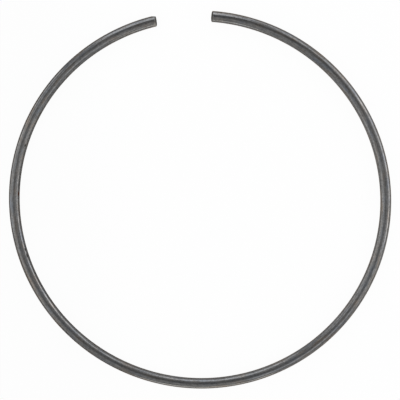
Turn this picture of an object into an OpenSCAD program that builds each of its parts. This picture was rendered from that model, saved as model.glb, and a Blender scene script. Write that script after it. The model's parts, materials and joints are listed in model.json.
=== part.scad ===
// Open wire snap ring: one length of round spring wire, coiled into a flat
// circle and cropped at both ends. It lies flat on the plane z = 0, with the
// ring's axis on Z and the middle of the opening towards +Y.

/* [Ring] */
// Outside diameter of the free ring
outside_d = 114.2; // [60:0.1:200]
// Diameter of the round spring wire
wire_d = 3.2; // [2:0.1:6]
// Straight distance between the two ends, along the middle of the wire
opening_w = 16.4; // [8:0.1:40]

/* [Right end] */
// Lean of the cropped face, which leaves the underside longer, in degrees
right_lean = 11; // [0:1:20]
// Radius of the rim that the cropping blade rolled over
right_rim_r = 0.15; // [0.1:0.05:0.6]

/* [Left end] */
// Lean of the cropped face, which leaves the underside longer, in degrees
left_lean = 3; // [0:1:20]
// Turn of the cropped face in plan, which leaves the outside longer, in degrees
left_skew = 5; // [0:1:12]
// Radius of the rim that the cropping blade rolled over
left_rim_r = 0.25; // [0.1:0.05:0.6]
// Length of the flat that the blade pressed into the outside
outer_flat_l = 1.0; // [0.5:0.1:3]
// Depth of the outside flat at the tip
outer_flat_depth = 0.28; // [0.1:0.02:0.6]
// Length of the second flat, on the upper inside
inner_flat_l = 1.2; // [0.5:0.1:3]
// Depth of the second flat at the tip
inner_flat_depth = 0.2; // [0.06:0.02:0.6]
// Place of the second flat round the wire, from straight out over the top, in degrees
inner_flat_turn = 140; // [100:1:180]

/* [Hidden] */
$fn = 64;
wire_r = wire_d / 2;
// Radius of the circle that the middle of the wire follows
coil_r = outside_d / 2 - wire_r;
// Half of the angle that the opening takes out of that circle
half_opening = asin(opening_w / 2 / coil_r);
// Angle of wire left past the middle of each face until the faces are cut
spare_angle = asin(wire_r / coil_r);
// Arc of the rolled rim before it runs out straight, in degrees
rim_arc = 60;
// Radius of the block of waste that is cut away at an end
waste_r = 1.5 * wire_r;

// The coiled wire, a little longer than the finished ring at both ends
module coiled_wire() {
    first = 90 + half_opening - spare_angle;
    last = 450 - half_opening + spare_angle;
    translate([0, 0, wire_r])
        rotate([0, 0, first])
            rotate_extrude(angle = last - first, $fn = 360)
                translate([coil_r, 0])
                    circle(r = wire_r);
}

// Half outline of what a cropped end keeps: the flat face on y = 0, the rolled
// rim, and a flare that leaves the rest of the wire alone
module kept_outline(rim_r) {
    face_r = wire_r - rim_r;
    rim_x = face_r + rim_r * sin(rim_arc);
    rim_y = rim_r * (1 - cos(rim_arc));
    flare_x = 2 * wire_r;
    flare_y = rim_y + (flare_x - rim_x) * tan(rim_arc);
    translate([face_r, rim_r])
        circle(r = rim_r);
    polygon([[0, 0], [face_r, 0], [rim_x, rim_y], [flare_x, flare_y], [0, flare_y]]);
}

// Waste past a cropped face. The face lies on x = 0 and the wire comes from -X.
module waste(rim_r) {
    rotate([0, 90, 0])
        difference() {
            translate([0, 0, -waste_r])
                cylinder(r = waste_r, h = 3 * waste_r);
            mirror([0, 0, 1])
                rotate_extrude()
                    kept_outline(rim_r);
        }
}

// What a blade pressed away beside a tip at x = 0: a wedge that starts flush
// with the wire and is deepest at the tip, turned round the wire by turn
module blade_wedge(length, depth, turn) {
    rotate([turn, 0, 0])
        translate([-length, wire_r, 0])
            rotate([0, 0, -atan(depth / length)])
                translate([0, 0, -wire_r])
                    cube([2 * length + wire_r, wire_r, wire_d]);
}

// Puts a cut at the left end: +X runs out of the wire and +Y away from the centre
module at_left_end() {
    translate([0, 0, wire_r])
        rotate([0, 0, 90 + half_opening])
            translate([coil_r, 0, 0])
                rotate([0, 0, -90])
                    children();
}

// The same for the right end, as a mirror image
module at_right_end() {
    mirror([1, 0, 0])
        at_left_end()
            children();
}

module snap_ring() {
    color([0.33, 0.32, 0.31])
        difference() {
            coiled_wire();
            at_right_end()
                rotate([0, -right_lean, 0])
                    waste(right_rim_r);
            at_left_end() {
                rotate([0, -left_lean, -left_skew])
                    waste(left_rim_r);
                blade_wedge(outer_flat_l, outer_flat_depth, 0);
                blade_wedge(inner_flat_l, inner_flat_depth, inner_flat_turn);
            }
        }
}

snap_ring();
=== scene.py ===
import json
import math

import bmesh
import bpy
from bpy.props import FloatProperty, FloatVectorProperty, IntProperty, PointerProperty
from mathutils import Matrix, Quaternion, Vector

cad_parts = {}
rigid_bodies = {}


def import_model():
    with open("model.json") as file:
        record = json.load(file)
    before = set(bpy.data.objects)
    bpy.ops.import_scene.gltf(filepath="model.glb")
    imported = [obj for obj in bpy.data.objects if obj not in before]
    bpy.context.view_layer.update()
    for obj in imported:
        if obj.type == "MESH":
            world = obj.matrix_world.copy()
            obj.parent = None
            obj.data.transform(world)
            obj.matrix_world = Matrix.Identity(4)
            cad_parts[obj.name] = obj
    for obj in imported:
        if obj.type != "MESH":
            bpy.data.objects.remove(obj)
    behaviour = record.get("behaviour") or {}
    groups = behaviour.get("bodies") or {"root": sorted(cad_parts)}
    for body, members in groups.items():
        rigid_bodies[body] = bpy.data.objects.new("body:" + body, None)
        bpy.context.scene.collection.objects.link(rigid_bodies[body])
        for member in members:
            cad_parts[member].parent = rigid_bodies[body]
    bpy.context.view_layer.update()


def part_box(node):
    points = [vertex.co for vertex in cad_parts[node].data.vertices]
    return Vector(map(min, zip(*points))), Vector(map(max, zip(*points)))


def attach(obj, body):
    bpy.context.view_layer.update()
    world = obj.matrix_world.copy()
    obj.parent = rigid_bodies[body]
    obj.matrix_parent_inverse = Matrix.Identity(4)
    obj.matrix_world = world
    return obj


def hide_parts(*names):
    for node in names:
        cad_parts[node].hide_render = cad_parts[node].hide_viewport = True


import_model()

bl_info = {
    "name": "Wire Snap Ring",
    "version": (1, 0, 0),
    "blender": (4, 5, 0),
    "location": "View3D > Sidebar > Snap Ring",
    "description": "An open snap ring of round spring wire, with cropped ends and a dark oiled finish",
    "category": "Object",
}

# The CAD node that the modelled wire stands for, and its body
NODE = "snap_ring"
BODY = "root"

# The two ends of the wire, as seen from above with the opening at the top
RIGHT = 1
LEFT = -1

# How near to a cutting plane, in metres, a corner counts as on it
CUT_PRECISION = 1e-7
# Corners nearer than this, in metres, are one corner
MERGE_DISTANCE = 4e-6
# Cosine above which a face counts as looking along a direction
SAME_WAY = 0.999
# Steps round a rolled rim
RIM_STEPS = 5
# How far behind a cropped face the support loops lie, in radii of its rim
SUPPORT_PLACES = (1.5, 2.5, 4)
# Starts of the random tears in the two cropped faces
TEAR_SEEDS = {RIGHT: 5, LEFT: 11}

# Sizes that the frame gives, in metres
NODE_LOW, NODE_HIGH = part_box(NODE)
OUTSIDE_D = NODE_HIGH.x - NODE_LOW.x
WIRE_D = NODE_HIGH.z - NODE_LOW.z


class RingSizes(bpy.types.PropertyGroup):
    """Sizes of the wire and of its two cropped ends"""

    outside_d: FloatProperty(
        name="Outside diameter",
        description="Diameter over the free ring",
        default=OUTSIDE_D,
        unit="LENGTH",
    )
    wire_d: FloatProperty(
        name="Wire diameter",
        description="Diameter of the round wire",
        default=WIRE_D,
        unit="LENGTH",
    )
    opening_w: FloatProperty(
        name="Opening",
        description="Straight distance between the ends, along the middle of the wire",
        default=0.0164,
        unit="LENGTH",
    )
    straight_tip: FloatProperty(
        name="Straight tip",
        description="Length at each end that isn't divided along the wire",
        default=0.0013,
        unit="LENGTH",
    )
    right_lean: FloatProperty(
        name="Right lean",
        description="Lean of the right end's face, which leaves the underside longer",
        default=math.radians(11),
        subtype="ANGLE",
    )
    right_rim: FloatProperty(
        name="Right rim",
        description="Radius of the crisp rim at the right end",
        default=0.00015,
        unit="LENGTH",
    )
    left_lean: FloatProperty(
        name="Left lean",
        description="Lean of the left end's face, which leaves the underside longer",
        default=math.radians(3),
        subtype="ANGLE",
    )
    left_skew: FloatProperty(
        name="Left skew",
        description="Turn of the left end's face in plan, which leaves the outside longer",
        default=math.radians(5),
        subtype="ANGLE",
    )
    left_rim: FloatProperty(
        name="Left rim",
        description="Radius that the cropping blade rolled over at the left end",
        default=0.00025,
        unit="LENGTH",
    )
    outer_flat_l: FloatProperty(
        name="Outer flat length",
        description="Length of the flat that the blade pressed into the outside of the left end",
        default=0.001,
        unit="LENGTH",
    )
    outer_flat_depth: FloatProperty(
        name="Outer flat depth",
        description="Depth of the outer flat at the tip",
        default=0.00028,
        unit="LENGTH",
    )
    inner_flat_l: FloatProperty(
        name="Inner flat length",
        description="Length of the flat on the upper inside of the left end",
        default=0.0012,
        unit="LENGTH",
    )
    inner_flat_depth: FloatProperty(
        name="Inner flat depth",
        description="Depth of the inner flat at the tip",
        default=0.0002,
        unit="LENGTH",
    )
    inner_flat_turn: FloatProperty(
        name="Inner flat turn",
        description="Place of the inner flat round the wire, from straight out over the top",
        default=math.radians(140),
        subtype="ANGLE",
    )
    face_tear: FloatProperty(
        name="Face unevenness",
        description="How far the torn steel of a cropped face stands out of flat",
        default=0.00002,
        unit="LENGTH",
    )
    flat_slack: FloatProperty(
        name="Flat slack",
        description="How far a corner may lie off a flat's plane and still count as on it",
        default=0.000005,
        unit="LENGTH",
    )
    face_steps: IntProperty(
        name="Steps over a face",
        description="Squares across a cropped face, each way",
        default=14,
    )
    round_steps: IntProperty(
        name="Steps round the wire",
        description="Faces round the wire's section",
        default=56,
    )
    long_steps: IntProperty(
        name="Steps along the wire",
        description="Faces along the wire",
        default=620,
    )


class SteelFinish(bpy.types.PropertyGroup):
    """Colours and gloss of the spring steel"""

    steel_colour: FloatVectorProperty(
        name="Steel",
        description="Reflection of the blackened, oiled steel",
        default=(0.127, 0.1265, 0.126),
        subtype="COLOR",
    )
    thin_colour: FloatVectorProperty(
        name="Worn steel",
        description="Reflection where the black coat is thinner",
        default=(0.226, 0.225, 0.224),
        subtype="COLOR",
    )
    brown_colour: FloatVectorProperty(
        name="Brown tinge",
        description="Reflection of the patches where the coat turned brown",
        default=(0.198, 0.167, 0.141),
        subtype="COLOR",
    )
    blue_colour: FloatVectorProperty(
        name="Blue tinge",
        description="Reflection of the patches where the coat stayed blue",
        default=(0.148, 0.163, 0.187),
        subtype="COLOR",
    )
    cropped_colour: FloatVectorProperty(
        name="Cropped face",
        description="Reflection of the dull faces that the blade left",
        default=(0.12, 0.116, 0.108),
        subtype="COLOR",
    )
    pit_colour: FloatVectorProperty(
        name="Pits",
        description="Reflection of the small pits",
        default=(0.05, 0.048, 0.045),
        subtype="COLOR",
    )
    rust_colour: FloatVectorProperty(
        name="Rust",
        description="Reflection of the small spot of rust",
        default=(0.075, 0.03, 0.018),
        subtype="COLOR",
    )
    # The flats' lighter, warmer colour is a painted reflection of the bright wall that they face
    flat_painted_reflection_colour: FloatVectorProperty(
        name="Pressed flat",
        description="Reflection of the flats, where the blade rubbed the coat away",
        default=(0.29, 0.275, 0.25),
        subtype="COLOR",
    )
    edge_tint: FloatVectorProperty(
        name="Edge tint",
        description="How much of the glancing reflection the oily coat lets through",
        default=(0.56, 0.48, 0.4),
        subtype="COLOR",
    )
    cropped_tint: FloatVectorProperty(
        name="Face edge tint",
        description="How much of the glancing reflection the torn faces give",
        default=(0.13, 0.12, 0.09),
        subtype="COLOR",
    )
    roughness: FloatProperty(
        name="Roughness",
        description="Mean roughness of the drawn surface",
        default=0.14,
    )
    cropped_roughness: FloatProperty(
        name="Face roughness",
        description="Roughness of the cropped faces",
        default=0.55,
    )


class StudioSettings(bpy.types.PropertyGroup):
    """Camera, lamps and floor"""

    view_tilt: FloatProperty(
        name="Camera tilt",
        description="Angle between the camera's line of sight and the ring's axis",
        default=math.radians(9.29),
        subtype="ANGLE",
    )
    view_side: FloatProperty(
        name="Camera side",
        description="Direction in which the camera leans, from +X towards +Y",
        default=math.radians(68.6),
        subtype="ANGLE",
    )
    view_turn: FloatProperty(
        name="Picture turn",
        description="Turn of the ring in the picture, anticlockwise",
        default=math.radians(4.26),
        subtype="ANGLE",
    )
    view_distance: FloatProperty(
        name="Camera distance",
        description="Distance from the camera to the middle of the ring",
        default=0.35,
        unit="LENGTH",
    )
    lens: FloatProperty(
        name="Lens",
        description="Focal length in millimetres, on a sensor 36 mm wide",
        default=105.5,
    )
    picture_shift: FloatVectorProperty(
        name="Picture shift",
        description="How far the camera stands to the right of the ring's middle and above it",
        size=2,
        default=(0.0004, 0.00123),
        unit="LENGTH",
    )
    lamp_power: FloatProperty(
        name="Lamp power",
        description="Factor on every lamp",
        default=1.0,
    )
    room_light: FloatProperty(
        name="Room light",
        description="Brightness of the room as the steel shows it, beside a white of 1",
        default=0.7,
    )
    dark_light: FloatProperty(
        name="Overhead light",
        description="Brightness of the darkest part of the room, overhead",
        default=0.32,
    )
    dark_place: FloatVectorProperty(
        name="Dark part",
        description="Direction of the darkest part from the middle of the ring",
        default=(0.05, 0.29, 0.95),
    )
    dark_size: FloatProperty(
        name="Dark part size",
        description="Angle from the middle of the dark part to where the room is plain again",
        default=math.radians(34),
        subtype="ANGLE",
    )


def coil_radius(ring):
    """Radius of the circle that the middle of the wire follows."""
    return (ring.outside_d - ring.wire_d) / 2


def half_opening(ring):
    """Half of the angle that the opening takes out of that circle."""
    return math.asin(ring.opening_w / 2 / coil_radius(ring))


def end_axes(ring, side):
    """Middle of an end's face, with the ways out of the wire, away from the ring's middle, and up."""
    angle = math.pi / 2 - side * half_opening(ring)
    outward = Vector((math.cos(angle), math.sin(angle), 0))
    out = Vector((0, 0, side)).cross(outward)
    middle = outward * coil_radius(ring) + Vector((0, 0, ring.wire_d / 2))
    return middle, out, outward, Vector((0, 0, 1))


def in_end_axes(axes, local):
    """A direction or a step, given by its parts along an end's three ways."""
    _, out, outward, up = axes
    return out * local[0] + outward * local[1] + up * local[2]


def cropped_face(ring, side):
    """Middle of an end's cropped face, the direction that it looks in, and the radius of its rim."""
    axes = end_axes(ring, side)
    if side == RIGHT:
        lean, skew, rim = ring.right_lean, 0, ring.right_rim
    else:
        lean, skew, rim = ring.left_lean, ring.left_skew, ring.left_rim
    look = (
        math.cos(lean) * math.cos(skew),
        -math.cos(lean) * math.sin(skew),
        math.sin(lean),
    )
    return axes[0], in_end_axes(axes, look), rim


def start_piece(name):
    """Names the object that a primitive has just added, and opens it for editing."""
    piece = bpy.context.object
    piece.name = name
    piece.data.name = name
    bpy.ops.object.mode_set(mode="EDIT")
    return piece


def select_faces(piece, wanted):
    """Selects the faces whose centre and normal pass the test, and nothing else."""
    bpy.ops.mesh.select_mode(type="FACE")
    bpy.ops.mesh.select_all(action="DESELECT")
    mesh = bmesh.from_edit_mesh(piece.data)
    for face in mesh.faces:
        face.select_set(wanted(face.calc_center_median(), face.normal))
    bmesh.update_edit_mesh(piece.data)


def select_edges(piece, wanted):
    """Selects the edges that pass the test, and nothing else."""
    bpy.ops.mesh.select_mode(type="EDGE")
    bpy.ops.mesh.select_all(action="DESELECT")
    mesh = bmesh.from_edit_mesh(piece.data)
    for edge in mesh.edges:
        edge.select_set(wanted(edge))
    bmesh.update_edit_mesh(piece.data)


def cut(point, look, away):
    """Divides the selected faces along a plane. What it looks towards is cut away, or stays."""
    bpy.ops.mesh.bisect(
        plane_co=point,
        plane_no=look,
        use_fill=away,
        clear_outer=away,
        threshold=CUT_PRECISION,
    )


def coil_wire(ring):
    """Spins the wire's round section into the open ring, short of its straight tips.

    Seen from the end of its axis a spin runs clockwise, so the axis points down.
    """
    radius = coil_radius(ring)
    tip_angle = ring.straight_tip / radius
    first = math.pi / 2 + half_opening(ring) + tip_angle
    sweep = 2 * math.pi - 2 * (half_opening(ring) + tip_angle)
    bpy.ops.object.select_all(action="DESELECT")
    bpy.ops.mesh.primitive_circle_add(
        vertices=ring.round_steps,
        radius=ring.wire_d / 2,
        location=(radius * math.cos(first), radius * math.sin(first), ring.wire_d / 2),
        rotation=(math.pi / 2, 0, first),
    )
    piece = start_piece("snap_ring_wire")
    bpy.ops.mesh.select_all(action="SELECT")
    bpy.ops.mesh.spin(
        steps=ring.long_steps,
        angle=sweep,
        center=(0, 0, 0),
        axis=(0, 0, -1),
    )
    bpy.ops.object.mode_set(mode="OBJECT")
    bpy.ops.object.transform_apply(location=True, rotation=True, scale=True)
    return piece


def select_end_loop(piece, ring, side):
    """Selects the open loop of edges at one end of the wire."""
    middle = end_axes(ring, side)[0]

    def at_this_end(edge):
        centre = (edge.verts[0].co + edge.verts[1].co) / 2
        return edge.is_boundary and (centre - middle).length < 2 * ring.wire_d

    select_edges(piece, at_this_end)


def near_end(ring, side):
    """A test for faces that lie on the last few millimetres of one end."""
    middle = end_axes(ring, side)[0]
    reach = ring.straight_tip + ring.wire_d
    return lambda centre, normal: (centre - middle).length < reach


def crop_end(piece, ring, side):
    """Draws the tip out and cuts it off along its leaning face."""
    middle, look, _ = cropped_face(ring, side)
    radius = coil_radius(ring)
    angle = math.pi / 2 - side * (half_opening(ring) + ring.straight_tip / radius)
    coil_end = Vector((radius * math.cos(angle), radius * math.sin(angle), ring.wire_d / 2))
    draw = (middle - coil_end).normalized() * (ring.straight_tip + ring.wire_d)
    select_end_loop(piece, ring, side)
    bpy.ops.mesh.extrude_region_move(TRANSFORM_OT_translate={"value": draw})
    select_faces(piece, near_end(ring, side))
    cut(middle, look, True)


def roll_rim(piece, ring, side):
    """Rounds the rim of a cropped face."""
    middle, look, rim = cropped_face(ring, side)

    def on_rim(edge):
        kinds = [face.normal.dot(look) > SAME_WAY for face in edge.link_faces]
        close = (edge.verts[0].co - middle).length < ring.wire_d
        return close and len(kinds) == 2 and kinds[0] != kinds[1]

    select_edges(piece, on_rim)
    bpy.ops.mesh.bevel(
        offset=rim,
        offset_type="OFFSET",
        segments=RIM_STEPS,
        profile=0.5,
        affect="EDGES",
    )


def support_loops(piece, ring, side):
    """Adds loops behind a rim, so that its rounding doesn't shade the straight tip."""
    middle, look, rim = cropped_face(ring, side)
    for place in SUPPORT_PLACES:
        select_faces(piece, near_end(ring, side))
        cut(middle - look * (place * rim), look, False)


def roughen_face(piece, ring, side):
    """Divides a cropped face into squares and pulls them a little uneven, as torn steel is."""
    middle, look, _ = cropped_face(ring, side)
    square = ring.wire_d / ring.face_steps

    def on_face(centre, normal):
        return normal.dot(look) > SAME_WAY and (centre - middle).length < ring.wire_d / 2

    for way in end_axes(ring, side)[2:]:
        for step in range(1, ring.face_steps):
            select_faces(piece, on_face)
            cut(middle + way * (step * square - ring.wire_d / 2), way, False)
    select_faces(piece, on_face)
    bpy.ops.mesh.select_less()
    bpy.ops.transform.vertex_random(
        offset=ring.face_tear,
        uniform=0,
        normal=1,
        seed=TEAR_SEEDS[side],
    )


def flat_plane(ring, length, depth, turn):
    """A point on one of the left end's flats, and the direction that the flat looks in."""
    axes = end_axes(ring, LEFT)
    slope = math.atan(depth / length)
    radius = ring.wire_d / 2
    point = (-length, radius * math.cos(turn), radius * math.sin(turn))
    normal = (
        math.sin(slope),
        math.cos(slope) * math.cos(turn),
        math.cos(slope) * math.sin(turn),
    )
    return axes[0] + in_end_axes(axes, point), in_end_axes(axes, normal)


def flat_planes(ring):
    """The planes of both flats at the left end."""
    return (
        flat_plane(ring, ring.outer_flat_l, ring.outer_flat_depth, 0),
        flat_plane(ring, ring.inner_flat_l, ring.inner_flat_depth, ring.inner_flat_turn),
    )


def press_flat(piece, ring, plane):
    """Cuts a flat that a blade pressed beside the left tip, deepest at the tip."""
    point, look = plane
    select_faces(piece, near_end(ring, LEFT))
    cut(point, look, True)


def is_flat(corners, ring, planes):
    """Whether all corners of a face lie on one of the left end's flats."""
    return any(
        all(
            (corner - point).length < ring.wire_d and abs((corner - point).dot(look)) < ring.flat_slack
            for corner in corners
        )
        for point, look in planes
    )


def sharpen_flats(piece, ring):
    """Keeps the edges of the blade's flats crisp."""
    planes = flat_planes(ring)

    def borders_flat(edge):
        kinds = [is_flat([vert.co for vert in face.verts], ring, planes) for face in edge.link_faces]
        return len(kinds) == 2 and kinds[0] != kinds[1]

    select_edges(piece, borders_flat)
    bpy.ops.mesh.mark_sharp()


def mark_blade_work(piece, ring):
    """Marks, for the finish, the faces that are cropped and those that are pressed flat.

    The second kind is added once the first is filled, because adding one moves the other.
    """
    ends = [cropped_face(ring, side) for side in (RIGHT, LEFT)]
    planes = flat_planes(ring)

    def is_cropped(centre):
        return any(
            (centre - middle).length < ring.wire_d / 2 - rim
            and abs((centre - middle).dot(look)) < 2 * ring.face_tear
            for middle, look, rim in ends
        )

    mesh = piece.data
    cropped = mesh.attributes.new("cropped", "FLOAT", "FACE")
    for face in mesh.polygons:
        cropped.data[face.index].value = float(is_cropped(face.center))
    pressed = mesh.attributes.new("pressed", "FLOAT", "FACE")
    for face in mesh.polygons:
        corners = [mesh.vertices[index].co for index in face.vertices]
        pressed.data[face.index].value = float(is_flat(corners, ring, planes))


class SNAPRING_OT_wire(bpy.types.Operator):
    """Model the coiled wire with its two cropped ends"""

    bl_idname = "snapring.wire"
    bl_label = "Coiled wire"

    def execute(self, context):
        ring = context.scene.snapring_sizes
        piece = coil_wire(ring)
        bpy.ops.object.mode_set(mode="EDIT")
        for shape in (crop_end, roll_rim, support_loops):
            shape(piece, ring, RIGHT)
            shape(piece, ring, LEFT)
        bpy.ops.mesh.select_all(action="SELECT")
        bpy.ops.mesh.normals_make_consistent(inside=False)
        roughen_face(piece, ring, RIGHT)
        roughen_face(piece, ring, LEFT)
        for plane in flat_planes(ring):
            press_flat(piece, ring, plane)
        bpy.ops.mesh.select_all(action="SELECT")
        bpy.ops.mesh.remove_doubles(threshold=MERGE_DISTANCE)
        bpy.ops.mesh.normals_make_consistent(inside=False)
        sharpen_flats(piece, ring)
        bpy.ops.object.mode_set(mode="OBJECT")
        bpy.ops.object.shade_smooth()
        mark_blade_work(piece, ring)
        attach(piece, BODY)
        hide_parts(NODE)
        return {"FINISHED"}


class Bench:
    """Adds nodes to one tree and links them."""

    def __init__(self, tree):
        self.nodes = tree.nodes
        self.links = tree.links

    def add(self, kind, inputs=None, **settings):
        """A node with its settings. Each input is a value or another node's output."""
        node = self.nodes.new("ShaderNode" + kind)
        for name, value in settings.items():
            setattr(node, name, value)
        for name, value in (inputs or {}).items():
            self.feed(node.inputs[name], value)
        return node

    def feed(self, socket, value):
        """Gives an input a value or links it to another node's output."""
        if isinstance(value, bpy.types.NodeSocket):
            self.links.new(value, socket)
        else:
            socket.default_value = value

    def math(self, operation, first, second=0.0):
        """One sum on two values or outputs."""
        return self.add("Math", {0: first, 1: second}, operation=operation).outputs[0]

    def fade(self, value, low, high, to_low=0.0, to_high=1.0):
        """Runs smoothly from to_low at low to to_high at high, and stays there."""
        inputs = {
            "Value": value,
            "From Min": low,
            "From Max": high,
            "To Min": to_low,
            "To Max": to_high,
        }
        return self.add("MapRange", inputs, interpolation_type="SMOOTHSTEP").outputs["Result"]

    def blend(self, share, first, second):
        """A colour from first, at a share of 0, to second, at 1. A plain colour is given as a tuple."""
        mix = self.add("Mix", data_type="RGBA")
        self.feed(mix.inputs["Factor"], share)
        for socket, colour in ((mix.inputs["A"], first), (mix.inputs["B"], second)):
            self.feed(socket, (*colour, 1) if isinstance(colour, tuple) else colour)
        return mix.outputs["Result"]

    def grain(self, place, pattern):
        """Noise of one pattern's marks, from 0 to 1."""
        length, width, detail, start = pattern
        inputs = {
            "Vector": place,
            "Location": (start, start, start),
            "Scale": (1 / length, 1 / width, 1 / width),
        }
        stretched = self.add("Mapping", inputs).outputs[0]
        noise = self.add("TexNoise", {"Vector": stretched, "Scale": 1.0, "Detail": detail})
        return noise.outputs["Fac"]


def place_on_wire(bench, ring):
    """Object coordinates drawn out straight: along the wire, out from its middle, and up.

    The cut in the angle lies in the opening, so the pattern runs on all round the ring.
    """
    radius = coil_radius(ring)
    spot = bench.add("TexCoord").outputs["Object"]
    x, y, z = bench.add("SeparateXYZ", {0: spot}).outputs
    angle = bench.math("ARCTAN2", x, bench.math("MULTIPLY", y, -1.0))
    flat = bench.add("CombineXYZ", {"X": x, "Y": y}).outputs[0]
    span = bench.add("VectorMath", {0: flat}, operation="LENGTH").outputs["Value"]
    inputs = {
        "X": bench.math("MULTIPLY", angle, radius),
        "Y": bench.math("SUBTRACT", span, radius),
        "Z": bench.math("SUBTRACT", z, ring.wire_d / 2),
    }
    return bench.add("CombineXYZ", inputs).outputs[0]


# The patterns in the steel: the length of a pattern's marks along the wire and their width across
# it in metres, its levels of detail, and where in the noise it starts
DIE_LINES = (0.012, 0.00012, 1.0, 0.0)
STREAKS = (0.004, 0.0004, 3.0, 3.1)
MOTTLE = (0.0009, 0.0006, 4.0, 7.7)
GRIT = (0.0001, 0.00008, 1.0, 1.3)
PATCHES = (0.005, 0.0012, 3.0, 5.9)
SPECKS = (0.0006, 0.0004, 2.0, 9.4)
TORN_STEEL = (0.0003, 0.0002, 4.0, 2.2)

# Share of the streaks in the wear of the coat. The mottle makes up the rest
STREAKS_IN_WEAR = 0.6
# Where in a pattern's noise a change of the coat starts, and where it is full
WEAR_RANGE = (0.3, 0.7)
BROWN_RANGE = (0.5, 0.8)
BLUE_RANGE = (0.5, 0.2)
SPECK_RANGE = (0.45, 0.7)
# How much of a speck's colour covers the coat
SPECK_COVER = 0.4

# How far the roughness goes up where the coat is whole, and down where it is worn
WEAR_IN_ROUGHNESS = 0.03
# How far the roughness goes up and down across the die lines, together
DIE_LINES_IN_ROUGHNESS = 0.1

# Heights of the patterns in the surface, and the depth of a pit, in metres
DIE_LINE_HEIGHT = 0.5e-6
STREAK_HEIGHT = 2e-6
MOTTLE_HEIGHT = 2.5e-6
GRIT_HEIGHT = 0.4e-6
TEAR_HEIGHT = 4e-5
PIT_DEPTH = 4e-5

# Distance from its middle, in its half sizes, at which a small mark starts, and at which it is full
MARK_EDGE = (1.0, 0.4)
# The small marks in the surface. Each has its angle round the ring from +X, its angle round the
# wire from straight out over the top, and its half length and half width in metres
PITS = (
    (156.9, 133, 0.0006, 0.00035),
    (190.6, 147, 0.0006, 0.0004),
    (192.6, 148, 0.0009, 0.0004),
)
RUST_SPOTS = ((172.5, 152, 0.001, 0.0004),)


def from_front(round_ring):
    """Turns an angle from +X into one from -Y, between -180 and 180 degrees."""
    return (round_ring + 270) % 360 - 180


def spots(bench, place, ring, marks):
    """The small marks of one kind, from 0 on sound steel to 1 in a mark."""
    total = 0.0
    for round_ring, round_wire, half_length, half_width in marks:
        across = math.radians(round_wire)
        middle = (
            math.radians(from_front(round_ring)) * coil_radius(ring),
            math.cos(across) * ring.wire_d / 2,
            math.sin(across) * ring.wire_d / 2,
        )
        away = bench.add("VectorMath", {0: place, 1: middle}, operation="SUBTRACT").outputs[0]
        shape = (1 / half_length, 1 / half_width, 1 / half_width)
        scaled = bench.add("VectorMath", {0: away, 1: shape}, operation="MULTIPLY").outputs[0]
        length = bench.add("VectorMath", {0: scaled}, operation="LENGTH").outputs["Value"]
        total = bench.math("MAXIMUM", total, bench.fade(length, *MARK_EDGE))
    return total


def coat_colour(bench, finish, place, worn):
    """Colour of the black coat: thinner where it is worn, with brown and blue tinges and specks."""
    patches = bench.grain(place, PATCHES)
    specks = bench.grain(place, SPECKS)
    thin = bench.fade(worn, *WEAR_RANGE)
    coat = bench.blend(thin, tuple(finish.steel_colour), tuple(finish.thin_colour))
    coat = bench.blend(bench.fade(patches, *BROWN_RANGE), coat, tuple(finish.brown_colour))
    coat = bench.blend(bench.fade(patches, *BLUE_RANGE), coat, tuple(finish.blue_colour))
    covered = bench.fade(specks, *SPECK_RANGE, 0.0, SPECK_COVER)
    return bench.blend(covered, coat, tuple(finish.pit_colour))


def steel_roughness(bench, finish, worn, die_lines, dull):
    """Roughness of the drawn surface, and of its dull marks where those are rougher."""
    whole = finish.roughness + WEAR_IN_ROUGHNESS
    thin = finish.roughness - WEAR_IN_ROUGHNESS
    rough = bench.fade(worn, *WEAR_RANGE, whole, thin)
    lines = bench.math("MULTIPLY", bench.math("SUBTRACT", die_lines, 0.5), DIE_LINES_IN_ROUGHNESS)
    rough = bench.math("ADD", rough, lines)
    return bench.math("MAXIMUM", rough, bench.math("MULTIPLY", dull, finish.cropped_roughness))


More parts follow.
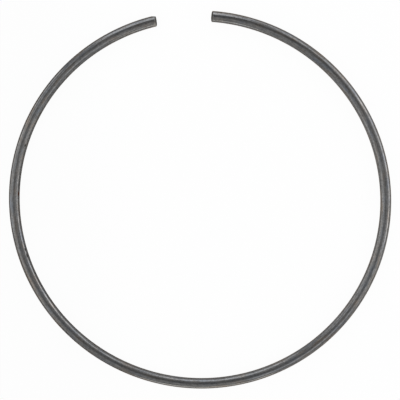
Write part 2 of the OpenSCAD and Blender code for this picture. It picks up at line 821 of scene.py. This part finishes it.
def spring_steel(finish, ring):
    """Drawn spring steel wire under a dark oiled coat, dull where it was cropped."""
    material = bpy.data.materials.new("spring_steel_oiled")
    material.use_nodes = True
    bench = Bench(material.node_tree)
    shader = bench.nodes["Principled BSDF"]
    shader.inputs["Metallic"].default_value = 1.0
    place = place_on_wire(bench, ring)
    cropped = bench.add("Attribute", attribute_name="cropped").outputs["Fac"]
    pressed = bench.add("Attribute", attribute_name="pressed").outputs["Fac"]
    pitted = spots(bench, place, ring, PITS)
    rusted = spots(bench, place, ring, RUST_SPOTS)

    die_lines = bench.grain(place, DIE_LINES)
    streaks = bench.grain(place, STREAKS)
    mottle = bench.grain(place, MOTTLE)
    streak_wear = bench.math("MULTIPLY", streaks, STREAKS_IN_WEAR)
    mottle_wear = bench.math("MULTIPLY", mottle, 1 - STREAKS_IN_WEAR)
    worn = bench.math("ADD", streak_wear, mottle_wear)

    coat = coat_colour(bench, finish, place, worn)
    # The flats get their painted reflection of the bright wall
    coat = bench.blend(pressed, coat, tuple(finish.flat_painted_reflection_colour))
    coat = bench.blend(cropped, coat, tuple(finish.cropped_colour))
    coat = bench.blend(pitted, coat, tuple(finish.pit_colour))
    coat = bench.blend(rusted, coat, tuple(finish.rust_colour))
    bench.feed(shader.inputs["Base Color"], coat)
    tint = bench.blend(cropped, tuple(finish.edge_tint), tuple(finish.cropped_tint))
    bench.feed(shader.inputs["Specular Tint"], tint)

    dull = bench.math("MAXIMUM", cropped, bench.math("MAXIMUM", pitted, rusted))
    rough = steel_roughness(bench, finish, worn, die_lines, dull)
    bench.feed(shader.inputs["Roughness"], rough)

    relief = (
        (streaks, STREAK_HEIGHT),
        (mottle, MOTTLE_HEIGHT),
        (bench.grain(place, GRIT), GRIT_HEIGHT),
        (bench.math("MULTIPLY", bench.grain(place, TORN_STEEL), cropped), TEAR_HEIGHT),
        (pitted, -PIT_DEPTH),
    )
    height = bench.math("MULTIPLY", die_lines, DIE_LINE_HEIGHT)
    for pattern, rise in relief:
        height = bench.math("ADD", height, bench.math("MULTIPLY", pattern, rise))
    bump = bench.add("Bump", {"Height": height, "Distance": 1.0})
    bench.feed(shader.inputs["Normal"], bump.outputs[0])
    return material


class SNAPRING_OT_finish(bpy.types.Operator):
    """Give the wire its dark oiled steel finish"""

    bl_idname = "snapring.finish"
    bl_label = "Steel finish"

    def execute(self, context):
        piece = bpy.data.objects["snap_ring_wire"]
        piece.data.materials.clear()
        scene = context.scene
        piece.data.materials.append(spring_steel(scene.snapring_finish, scene.snapring_sizes))
        return {"FINISHED"}


# The floor: its side in metres, and how much of its own white the camera sees. The rest is paper
# that takes the ring's shadow
FLOOR_SIZE = 4
GLOW_IN_CAMERA = 0.96
# How much of that white the steel shows at most, and the places on X between which it grows to that.
# Less of it on the left is painted shade on the floor, which the steel reflects
GLOW_IN_STEEL = 0.42
GLOW_SHADE_PAINTED_FROM_TO = (-0.03, 0.06)
# The paper as the steel shows it, painted grey on the left as painted shade on the floor, and the
# places on X between which it turns white
PAINTED_SHADE_GREY = (0.68, 0.68, 0.68)
WHITE_PAPER = (0.9, 0.9, 0.9)
PAPER_SHADE_PAINTED_FROM_TO = (-0.045, -0.015)


def share_of_glow(bench, across):
    """How much of the floor's own white a ray sees, by its kind. The rest is the light on the paper.

    The steel shows the floor's right side brighter than its left: painted shade on the floor's left
    side.
    """
    path = bench.add("LightPath").outputs
    # The steel sees less of the glow on the left: painted shade on the floor
    glow_past_painted_shade = bench.fade(across, *GLOW_SHADE_PAINTED_FROM_TO, 0.0, GLOW_IN_STEEL)
    share = bench.math("MULTIPLY", path["Is Glossy Ray"], glow_past_painted_shade)
    for kind in ("Is Camera Ray", "Is Transmission Ray"):
        share = bench.math("MAXIMUM", share, bench.math("MULTIPLY", path[kind], GLOW_IN_CAMERA))
    return share


def floor_material():
    """A floor that shows as plain white and still takes a soft shadow. Its paper is painted grey on the
    left, as painted shade that the steel reflects.
    """
    material = bpy.data.materials.new("white_floor_with_painted_shade")
    material.use_nodes = True
    bench = Bench(material.node_tree)
    bench.nodes.clear()
    across = bench.add("SeparateXYZ", {0: bench.add("TexCoord").outputs["Object"]}).outputs["X"]
    # Paper painted grey on the left: painted shade, seen mostly in the steel's reflection
    white = bench.blend(bench.fade(across, *PAPER_SHADE_PAINTED_FROM_TO), PAINTED_SHADE_GREY, WHITE_PAPER)
    paper = bench.add("BsdfDiffuse", {"Color": white})
    glow = bench.add("Emission", {"Strength": 1.0})
    share = share_of_glow(bench, across)
    mix = bench.add("MixShader", {0: share, 1: paper.outputs[0], 2: glow.outputs[0]})
    bench.add("OutputMaterial", {"Surface": mix.outputs[0]})
    return material


def add_floor():
    """Lays the white floor under the ring."""
    bpy.ops.object.select_all(action="DESELECT")
    bpy.ops.mesh.primitive_plane_add(size=FLOOR_SIZE, location=(0, 0, 0))
    floor = bpy.context.object
    floor.name = "floor"
    floor.data.materials.append(floor_material())


# Tints of the soft boxes
COOL = (0.95, 0.99, 1.05)
NEUTRAL = (1.0, 0.99, 1.0)
WARM = (1.05, 1.01, 0.92)

# Watts for each square metre of a soft box that make it look as bright as a white of 1
WHITE_WATTS = 4
# Soft boxes round the ring: azimuth from +X towards +Y, elevation, distance in metres, width and
# height in metres, brightness beside a white of 1, and tint
SOFT_BOXES = (
    ("right_box", 15, 8, 0.45, (0.45, 0.13), 1.0, NEUTRAL),
    ("near_right_box", 0, 20, 0.3, (0.26, 0.13), 0.75, NEUTRAL),
    ("right_back_box", 40, 25, 0.45, (0.3, 0.17), 0.8, COOL),
    ("back_box", 90, 8, 0.45, (0.7, 0.13), 0.8, COOL),
    ("near_back_box", 97, 26, 0.3, (0.26, 0.13), 0.9, COOL),
    ("left_box", 165, 8, 0.45, (0.45, 0.13), 0.77, NEUTRAL),
    ("left_upper_box", 190, 27, 0.45, (0.5, 0.2), 0.4, WARM),
    ("left_high_box", 180, 50, 0.45, (0.45, 0.17), 0.3, COOL),
    ("front_low_box", 265, 7, 0.45, (0.3, 0.13), 1.25, WARM),
    ("front_high_box", 305, 52, 0.45, (0.35, 0.17), 0.4, COOL),
    ("front_right_box", 330, 22, 0.45, (0.24, 0.2), 0.5, WARM),
)


def add_lamp(box, lamp_power):
    """A soft box that looks at the middle of the ring."""
    name, azimuth, elevation, distance, (width, height), brightness, tint = box
    around = math.radians(azimuth)
    above = math.radians(elevation)
    way = Vector(
        (math.cos(above) * math.cos(around), math.cos(above) * math.sin(around), math.sin(above))
    )
    data = bpy.data.lights.new(name, "AREA")
    data.shape = "RECTANGLE"
    data.size = width
    data.size_y = height
    data.energy = WHITE_WATTS * width * height * brightness * lamp_power
    data.color = tint
    lamp = bpy.data.objects.new(name, data)
    lamp.location = way * distance
    lamp.rotation_euler = way.to_track_quat("Z", "Y").to_euler()
    bpy.context.scene.collection.objects.link(lamp)


# Width of the camera's sensor, in millimetres
SENSOR_WIDTH = 36


def add_camera(studio):
    """Looks down on the ring, leaning over the side where its ends are."""
    axis = Vector((-math.sin(studio.view_side), math.cos(studio.view_side), 0))
    turn = Quaternion(axis, studio.view_tilt) @ Quaternion((0, 0, 1), -studio.view_turn)
    data = bpy.data.cameras.new("camera")
    data.lens = studio.lens
    data.sensor_width = SENSOR_WIDTH
    camera = bpy.data.objects.new("camera", data)
    camera.rotation_mode = "QUATERNION"
    camera.rotation_quaternion = turn
    stand = Vector((*studio.picture_shift, studio.view_distance))
    camera.location = turn @ stand + Vector((0, 0, WIRE_D / 2))
    bpy.context.scene.collection.objects.link(camera)
    bpy.context.scene.camera = camera


def light_world(studio):
    """A background that shows as white, and that lights the ring as a pale room, darker overhead."""
    world = bpy.data.worlds.new("studio")
    world.use_nodes = True
    bench = Bench(world.node_tree)
    way = bench.add("TexCoord").outputs["Generated"]
    darkest = Vector(studio.dark_place).normalized()
    towards = bench.add("VectorMath", {0: way, 1: darkest}, operation="DOT_PRODUCT").outputs["Value"]
    inputs = {
        "Value": towards,
        "From Min": math.cos(studio.dark_size),
        "To Min": studio.room_light,
        "To Max": studio.dark_light,
    }
    room = bench.add("MapRange", inputs).outputs["Result"]
    path = bench.add("LightPath").outputs
    seen = bench.math("MAXIMUM", path["Is Camera Ray"], path["Is Transmission Ray"])
    background = bench.nodes["Background"]
    background.inputs["Color"].default_value = (1, 1, 1, 1)
    bench.feed(background.inputs["Strength"], bench.math("MAXIMUM", seen, room))
    bpy.context.scene.world = world


class SNAPRING_OT_stage(bpy.types.Operator):
    """Lay a white floor, and set up the soft boxes, the room and the camera"""

    bl_idname = "snapring.stage"
    bl_label = "Stage"

    def execute(self, context):
        studio = context.scene.snapring_studio
        add_floor()
        for box in SOFT_BOXES:
            add_lamp(box, studio.lamp_power)
        light_world(studio)
        add_camera(studio)
        context.scene.view_settings.view_transform = "Standard"
        return {"FINISHED"}


class SNAPRING_PT_panel(bpy.types.Panel):
    """Buttons and settings for the snap ring"""

    bl_idname = "SNAPRING_PT_panel"
    bl_label = "Snap Ring"
    bl_space_type = "VIEW_3D"
    bl_region_type = "UI"
    bl_category = "Snap Ring"

    def draw(self, context):
        for operator in OPERATORS:
            self.layout.operator(operator.bl_idname)
        for name, group in SETTINGS.items():
            box = self.layout.box()
            for field in group.__annotations__:
                box.prop(getattr(context.scene, name), field)


SETTINGS = {
    "snapring_sizes": RingSizes,
    "snapring_finish": SteelFinish,
    "snapring_studio": StudioSettings,
}
OPERATORS = (SNAPRING_OT_wire, SNAPRING_OT_finish, SNAPRING_OT_stage)
CLASSES = (*SETTINGS.values(), *OPERATORS, SNAPRING_PT_panel)


def register():
    """Adds the settings, the buttons and the panel to Blender."""
    for item in CLASSES:
        bpy.utils.register_class(item)
    for name, group in SETTINGS.items():
        setattr(bpy.types.Scene, name, PointerProperty(type=group))


def unregister():
    """Takes them out of Blender again."""
    for name in SETTINGS:
        delattr(bpy.types.Scene, name)
    for item in reversed(CLASSES):
        bpy.utils.unregister_class(item)


def main():
    """Models the ring, finishes it and sets the stage."""
    register()
    bpy.ops.snapring.wire()
    bpy.ops.snapring.finish()
    bpy.ops.snapring.stage()


if __name__ == "__main__":
    main()
